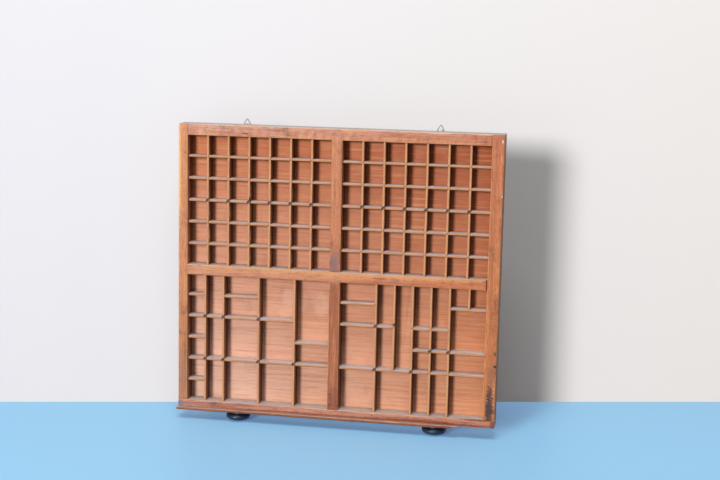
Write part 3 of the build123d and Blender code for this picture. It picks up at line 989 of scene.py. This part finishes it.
@dataclass
class Dividers:
    """Thin uprights and shelves that part the tray into compartments.

    Attributes:
        joinery: How the slips are worn.
        nick_colour: Colour of the dark dot at an open slot.
        nick_mm: Half the size of such a slot.
    """

    joinery: Joinery
    nick_colour: str = "#1e2038"
    nick_mm: float = 2.5

    def crossings(self) -> list[Mark]:
        """Find the open slots where uprights cross long shelves.

        Returns:
            A dark dot at each, as a mark.
        """
        marks = []
        shelves = [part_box(node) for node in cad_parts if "long_shelf" in node]
        uprights = [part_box(node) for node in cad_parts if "upright" in node]
        for shelf_low, shelf_high in shelves:
            for low, high in uprights:
                if (shelf_low.x < low.x and high.x < shelf_high.x
                        and low.z < shelf_low.z and shelf_high.z < high.z):
                    place = ((low.x + high.x) / 2 / MM, low.y / MM,
                             (shelf_low.z + 2 * shelf_high.z) / 3 / MM)
                    marks.append(Mark(place, (self.nick_mm,) * 3, self.nick_colour,
                                      strength=0.95, ragged=0.3))
        return marks

    def build(self) -> None:
        """Build all uprights and shelves."""
        # Thin planed beech slips: dull brown, their front edges rubbed to a paler tan,
        # darker towards the back with painted shade and some grime, and grey with dust on top.
        soot = "#221d26"
        upright = WoodFinish(
            name="beech_upright", run=GrainRun.UP,
            tones=("#b97f56", "#bd7f50", "#b47c58", "#bb7d52"),
            worn_colour="#dda273", front_depth=0.7, deep_shade_and_grime_depth=0.8, dust_depth=1.0,
            dust_colour="#e0dad9", fibre_mm=(0.9, 18.0), figure_mm=(4.0, 90.0),
            streak_depth=0.4, deep_from_mm=-9.5, deep_to_mm=0.0,
            marks=(Mark((-113.9, -10.6, 296.1), (1.8, 3.0, 4.5), soot, 0.95, 0.3, 0.3),
                   Mark((77.6, -10.6, 143.3), (1.8, 3.0, 2.0), soot, 0.9, 0.3, 0.3),
                   *self.crossings()))
        shelf = replace(upright, name="beech_shelf", run=GrainRun.ACROSS,
                        worn_colour="#c18c66", front_depth=0.6)
        materials = {GrainRun.UP: upright.material(*CAD_BOX),
                     GrainRun.ACROSS: shelf.material(*CAD_BOX)}
        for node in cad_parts:
            run = GrainRun.UP if "upright" in node else GrainRun.ACROSS
            if "upright" in node or "shel" in node:
                piece = self.joinery.board(node, run, materials[run])


# --- Knobs, hangers and fastenings -------------------------------------------


@dataclass
class DrawerKnobs:
    """Two turned wooden knobs that the tray stands on.

    Attributes:
        profile: Radius and height of each turned ring, from the neck to the foot, in mm.
        sides: Faces round the knob.
        foot_inset: Share of the foot's radius by which its middle is set in.
        smooth_deg: Angle past which an edge looks sharp.
    """

    profile: tuple[Pair, ...] = (
        (9.5, 10.6), (9.7, 10.0), (10.6, 9.85), (12.4, 9.75), (13.9, 9.3), (15.1, 8.4),
        (15.75, 7.3), (15.98, 6.2), (15.8, 5.0), (15.2, 4.0), (14.2, 3.0), (12.6, 1.9),
        (10.6, 1.1), (8.6, 0.5), (7.0, 0.15), (6.0, 0.0))
    sides: int = 64
    foot_inset: float = 0.5
    smooth_deg: float = 50.0

    def turn(self, node: str) -> Piece:
        """Turn one knob from a disc, ring by ring, as on a lathe.

        Args:
            node: Name of the knob's node.

        Returns:
            The knob.
        """
        low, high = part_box(node)
        axis = (low + high) / 2
        neck, foot = self.profile[0][0], self.profile[-1][0]
        top, depth = high.z, high.z - self.profile[0][1] * MM
        bpy.ops.object.select_all(action="DESELECT")
        bpy.ops.mesh.primitive_cylinder_add(vertices=self.sides, radius=neck * MM, depth=depth,
                                            location=(0, 0, 0))
        piece = bpy.context.active_object
        piece.name = f"turned_{node}"
        piece.data.transform(Matrix.Translation((axis.x, axis.y, top - depth / 2)))
        bpy.ops.object.mode_set(mode="EDIT")
        bpy.ops.mesh.select_mode(type="FACE")
        bpy.ops.mesh.select_all(action="DESELECT")
        bpy.ops.object.mode_set(mode="OBJECT")
        for face in piece.data.polygons:
            face.select = face.normal.z < -0.9      # the disc's lower face
        bpy.ops.object.mode_set(mode="EDIT")
        for before, after in zip(self.profile, self.profile[1:]):
            fall = (after[1] - before[1]) * MM
            bpy.ops.mesh.extrude_region_move(TRANSFORM_OT_translate={"value": (0, 0, fall)})
            share = after[0] / before[0]
            bpy.ops.transform.resize(value=(share, share, 1), center_override=(axis.x, axis.y, 0))
        bpy.ops.mesh.inset(thickness=foot * self.foot_inset * MM)
        bpy.ops.mesh.select_all(action="SELECT")
        bpy.ops.mesh.normals_make_consistent(inside=False)
        bpy.ops.object.mode_set(mode="OBJECT")
        smooth(piece, self.smooth_deg)
        return piece

    def build(self) -> None:
        """Build both knobs."""
        # Turned wood under brushed black lacquer: near black with a cool tinge, a soft
        # gloss, and greyer where it is rubbed.
        lacquer = HardFinish(name="black_lacquer", colour="#14263a", soil_colour="#2c4058",
                             roughness=0.42, coat=0.15, soil_mm=5.0).material()
        for side in ("left", "right"):
            node = f"{side}_knob"
            piece = self.turn(node)
            dress(piece, lacquer)
            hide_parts(node)
            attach(piece, TRAY)
            log.info("knob %s", side)


@dataclass
class WallHangers:
    """Wire rings that swing in folded straps on the back of the top rail.

    Attributes:
        rounding_mm: Rounding of a strap's edges.
        smooth_deg: Angle past which an edge of a strap looks sharp.
    """

    rounding_mm: float = 0.12
    smooth_deg: float = 35.0

    def build(self) -> None:
        """Build rings and straps."""
        # Drawn and rolled steel gone dull: grey metal with blurred highlights and
        # brown specks of rust.
        wire = HardFinish(name="dull_steel_wire", colour="#8f8d8c", soil_colour="#5c4a3e",
                          metallic=1.0, roughness=0.42).material()
        sheet = HardFinish(name="dull_steel_sheet", colour="#a3a09b", soil_colour="#6a5340",
                           metallic=1.0, roughness=0.45).material()
        for side in ("left", "right"):
            ring = copy_node(f"{side}_hanger_ring", f"smooth_{side}_hanger_ring")
            bpy.ops.object.shade_smooth()
            dress(ring, wire)
            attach(ring, f"{side}_ring")
            strap = copy_node(f"{side}_hanger_strap", f"pressed_{side}_hanger_strap")
            round_edges(strap, self.rounding_mm)
            smooth(strap, self.smooth_deg)
            dress(strap, sheet)
            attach(strap, TRAY)
            log.info("hanger %s", side)


@dataclass
class Fastenings:
    """Nails and slotted screws.

    Attributes:
        rounding_mm: Rounding of heads and points.
        slot_width_mm: Width of a screw's slot.
        slot_depth_mm: Depth of a screw's slot.
        cutter_mm: Length of the blade that cuts it, wider than a head.
        slot_turns: Angle of the left and the right screw's slot, in radians.
        level_mm: Points that are this near to the rearmost one are on the heads' faces.
        smooth_deg: Angle past which an edge looks sharp.
    """

    rounding_mm: float = 0.18
    slot_width_mm: float = 0.6
    slot_depth_mm: float = 0.6
    cutter_mm: float = 12.0
    slot_turns: Pair = (0.35, -0.6)
    level_mm: float = 0.01
    smooth_deg: float = 40.0

    def cut_slots(self, piece: Piece) -> None:
        """Cut a slot across each screw head that faces the back.

        Args:
            piece: The two screws.
        """
        back = max(vertex.co.y for vertex in piece.data.vertices)
        heads = [vertex.co.copy() for vertex in piece.data.vertices
                 if back - vertex.co.y < self.level_mm * MM]
        for turn, side in zip(self.slot_turns, (-1, 1)):
            ring = [place for place in heads if place.x * side > 0]
            middle = sum(ring, Vector()) / len(ring)
            bpy.ops.object.select_all(action="DESELECT")
            bpy.ops.mesh.primitive_cube_add(size=1.0)
            cutter = bpy.context.active_object
            shape = Matrix.Diagonal((self.cutter_mm * MM, 2 * self.slot_depth_mm * MM,
                                     self.slot_width_mm * MM, 1.0))
            cutter.data.transform(Matrix.Translation(middle) @ Matrix.Rotation(turn, 4, "Y")
                                  @ shape)
            cut_away(piece, cutter)

    def build(self) -> None:
        """Build nails and screws."""
        # Cut iron nails, dark brown with rust and matt; plain steel screws, grey and
        # blurred, with a little rust.
        iron = HardFinish(name="darkened_iron", colour="#4a3f3a", soil_colour="#5a2f1c",
                          metallic=0.9, roughness=0.55, soil_depth=0.6).material()
        steel = HardFinish(name="bright_screw_steel", colour="#a8a39b", soil_colour="#6d4a30",
                           metallic=1.0, roughness=0.4).material()
        for node, finish, slot in (("frame_nails", iron, "nail_steel"),
                                   ("panel_nails", iron, "nail_steel"),
                                   ("hanger_screws", steel, "screw_steel"),
                                   ("knob_screws", steel, "screw_steel")):
            piece = copy_node(node, f"rounded_{node}")
            round_edges(piece, self.rounding_mm)
            if node == "hanger_screws":
                self.cut_slots(piece)
            smooth(piece, self.smooth_deg)
            dress(piece, finish)
            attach(piece, TRAY)
            log.info("fastenings %s", node)


# --- Floor, wall, light and camera --------------------------------------------


@dataclass
class Studio:
    """Pale floor and wall, two soft lamps, and the photograph's camera."""

    # Camera: its place, how it is turned, its lens and film, and how far it sees.
    camera_mm: Triple = (331.2, -1715.0, 529.2)
    heading_deg: float = 9.99
    pitch_deg: float = 9.13
    roll_deg: float = 1.27
    lens_mm: float = 68.8
    film_mm: float = 36.0
    view_mm: float = 50000.0
    # Floor and wall: sizes, the stretch over which the wall's tone changes, colours.
    # The wall's change of tone, bluish at the left and warmer at the right, is
    # painted light.
    floor_width_mm: float = 30000.0
    wall_mm: float = 116.0
    wall_turn_deg: float = 14.6
    wall_width_mm: float = 6000.0
    tone_from_mm: float = -500.0
    tone_to_mm: float = 550.0
    floor_colour: str = "#a0e4ff"
    floor_glow: str = "#434e78"
    bounce_colour: str = "#6f7076"
    floor_roughness: float = 0.5
    wall_roughness: float = 0.8
    wall_left_colour: str = "#e8e8ed"
    wall_right_colour: str = "#f9f4f0"
    # Lamps and world.
    lamp_azimuth_deg: float = 17.5
    lamp_height_deg: float = 11.5
    lamp_distance_mm: float = 8000.0
    lamp_size_mm: float = 1900.0
    lamp_watts: float = 490.0
    fill_height_deg: float = 65.0
    fill_distance_mm: float = 3000.0
    fill_size_mm: float = 1500.0
    fill_watts: float = 34.0
    sky_strength: float = 0.21
    sky_colour: str = "#f6f6f8"

    def camera(self) -> None:
        """Place the camera where the photograph was taken from."""
        data = bpy.data.cameras.new("photo_camera")
        data.sensor_width = self.film_mm
        data.lens = self.lens_mm
        data.clip_end = self.view_mm * MM
        camera = bpy.data.objects.new("photo_camera", data)
        bpy.context.scene.collection.objects.link(camera)
        turn = (Matrix.Rotation(math.radians(self.heading_deg), 4, "Z")
                @ Matrix.Rotation(math.radians(90 - self.pitch_deg), 4, "X")
                @ Matrix.Rotation(math.radians(self.roll_deg), 4, "Z"))
        camera.matrix_world = Matrix.Translation(Vector(self.camera_mm) * MM) @ turn
        bpy.context.scene.camera = camera

    def sheet(self, name: str, size_mm: float, place: Matrix, colours: tuple[str, str],
              roughness: float) -> tuple[Tree, Node]:
        """Add a large flat sheet whose colour changes from left to right.

        Args:
            name: Name of the sheet.
            size_mm: Its width and height.
            place: Where it lies.
            colours: Colour at the left and at the right of the view.
            roughness: How far it blurs what it mirrors.

        Returns:
            Its node tree and its shader node.
        """
        bpy.ops.object.select_all(action="DESELECT")
        bpy.ops.mesh.primitive_plane_add(size=size_mm * MM)
        sheet = bpy.context.active_object
        sheet.name = name
        sheet.data.transform(place)
        # Matt paint that mirrors hardly anything: one tone on the floor; on the wall a
        # change of tone from left to right that is painted light.
        made, tree, shader = new_material(name)
        coords = add_node(tree, "TexCoord").outputs["Object"]
        across = add_node(tree, "SeparateXYZ", {0: coords}).outputs["X"]
        share = add_node(tree, "MapRange",
                         {"Value": across, "From Min": self.tone_from_mm * MM,
                          "From Max": self.tone_to_mm * MM})
        shade = add_node(tree, "Mix",
                         {0: share.outputs["Result"], 6: linear(colours[0]),
                          7: linear(colours[1])}, data_type="RGBA")
        tree.links.new(shade.outputs[2], shader.inputs["Base Color"])
        shader.inputs["Roughness"].default_value = roughness
        dress(sheet, made)
        return tree, shader

    def seen(self, tree: Tree) -> Socket:
        """Tell what the camera sees from what only lights the scene.

        Args:
            tree: The material's node tree.

        Returns:
            1 for what is seen, straight or by reflection, else 0.
        """
        path = add_node(tree, "LightPath")
        seen = path.outputs["Is Camera Ray"]
        for way in ("Is Glossy Ray", "Is Transmission Ray"):
            seen = add_node(tree, "Math", {0: seen, 1: path.outputs[way]},
                            operation="MAXIMUM").outputs[0]
        return seen

    def floor(self) -> None:
        """Lay the blue floor, which is blue to the camera and throws plain light back."""
        tree, shader = self.sheet("floor", self.floor_width_mm, Matrix.Identity(4),
                                  (self.floor_colour, self.floor_colour),
                                  self.floor_roughness)
        blue = shader.inputs["Base Color"].links[0].from_socket
        shade = add_node(tree, "Mix",
                         {0: self.seen(tree), 6: linear(self.bounce_colour), 7: blue},
                         data_type="RGBA")
        tree.links.new(shade.outputs[2], shader.inputs["Base Color"])
        shader.inputs["Emission Color"].default_value = linear(self.floor_glow)
        tree.links.new(self.seen(tree), shader.inputs["Emission Strength"])

    def wall(self) -> None:
        """Stand the wall behind the tray, seen from its front only."""
        turn = math.radians(self.wall_turn_deg)
        away = Vector((-math.sin(turn), math.cos(turn), 0.0))
        stand = (Matrix.Translation(away * self.wall_mm * MM) @ Matrix.Rotation(turn, 4, "Z")
                 @ Matrix.Rotation(math.radians(90), 4, "X"))
        tree, shader = self.sheet("wall", self.wall_width_mm, stand,
                                  (self.wall_left_colour, self.wall_right_colour),
                                  self.wall_roughness)
        clear = add_node(tree, "BsdfTransparent")
        behind = add_node(tree, "NewGeometry").outputs["Backfacing"]
        front = add_node(tree, "Math", {0: self.seen(tree), 1: behind},
                         operation="SUBTRACT", use_clamp=True)
        both = add_node(tree, "MixShader",
                        {0: front.outputs[0], 1: clear.outputs[0], 2: shader.outputs[0]})
        tree.links.new(both.outputs[0], tree.nodes["Material Output"].inputs["Surface"])

    def lamp(self, name: str, azimuth_deg: float, height_deg: float, distance_mm: float,
             size_mm: float, watts: float) -> None:
        """Hang a round soft lamp that faces the tray.

        Args:
            name: Name of the lamp.
            azimuth_deg: How far to the left of straight in front it hangs.
            height_deg: How far above the tray's middle it hangs.
            distance_mm: Its distance from the tray's middle.
            size_mm: Its diameter.
            watts: Its power.
        """
        data = bpy.data.lights.new(name, "AREA")
        data.shape = "DISK"
        data.size = size_mm * MM
        data.energy = watts
        lamp = bpy.data.objects.new(name, data)
        bpy.context.scene.collection.objects.link(lamp)
        azimuth, height = math.radians(azimuth_deg), math.radians(height_deg)
        away = Vector((-math.sin(azimuth) * math.cos(height),
                       -math.cos(azimuth) * math.cos(height), math.sin(height)))
        low, high = CAD_BOX
        lamp.location = (low + high) / 2 + away * distance_mm * MM
        lamp.rotation_euler = (-away).to_track_quat("-Z", "Y").to_euler()

    def light(self) -> None:
        """Hang the lamps and light the rest from the world."""
        self.lamp("window", self.lamp_azimuth_deg, self.lamp_height_deg,
                  self.lamp_distance_mm, self.lamp_size_mm, self.lamp_watts)
        self.lamp("ceiling", 0.0, self.fill_height_deg, self.fill_distance_mm,
                  self.fill_size_mm, self.fill_watts)
        world = bpy.data.worlds.new("room")
        bpy.context.scene.world = world
        world.use_nodes = True
        sky = world.node_tree.nodes["Background"]
        sky.inputs["Color"].default_value = linear(self.sky_colour)
        sky.inputs["Strength"].default_value = self.sky_strength

    def build(self) -> None:
        """Set up the whole studio."""
        bpy.context.scene.view_settings.view_transform = "Standard"
        self.camera()
        self.floor()
        self.wall()
        self.light()
        log.info("studio")


def main() -> None:
    """Build every sub-assembly in order and report each piece."""
    logging.basicConfig(level=logging.INFO, format="%(name)s: %(message)s")
    TrayFrame(Joinery()).build()
    BackPanel(Joinery(rounding_mm=0.2, slice_mm=30.0, wear_mm=0.0, arris_growth=0.0)).build()
    Dividers(Joinery(rounding_mm=0.25, slice_mm=5.0, wear_mm=0.55, wear_size_mm=16.0,
                     arris_growth=0.5, warp_mm=0.6)).build()
    DrawerKnobs().build()
    WallHangers().build()
    Fastenings().build()
    Studio().build()


if __name__ == "__main__":
    main()
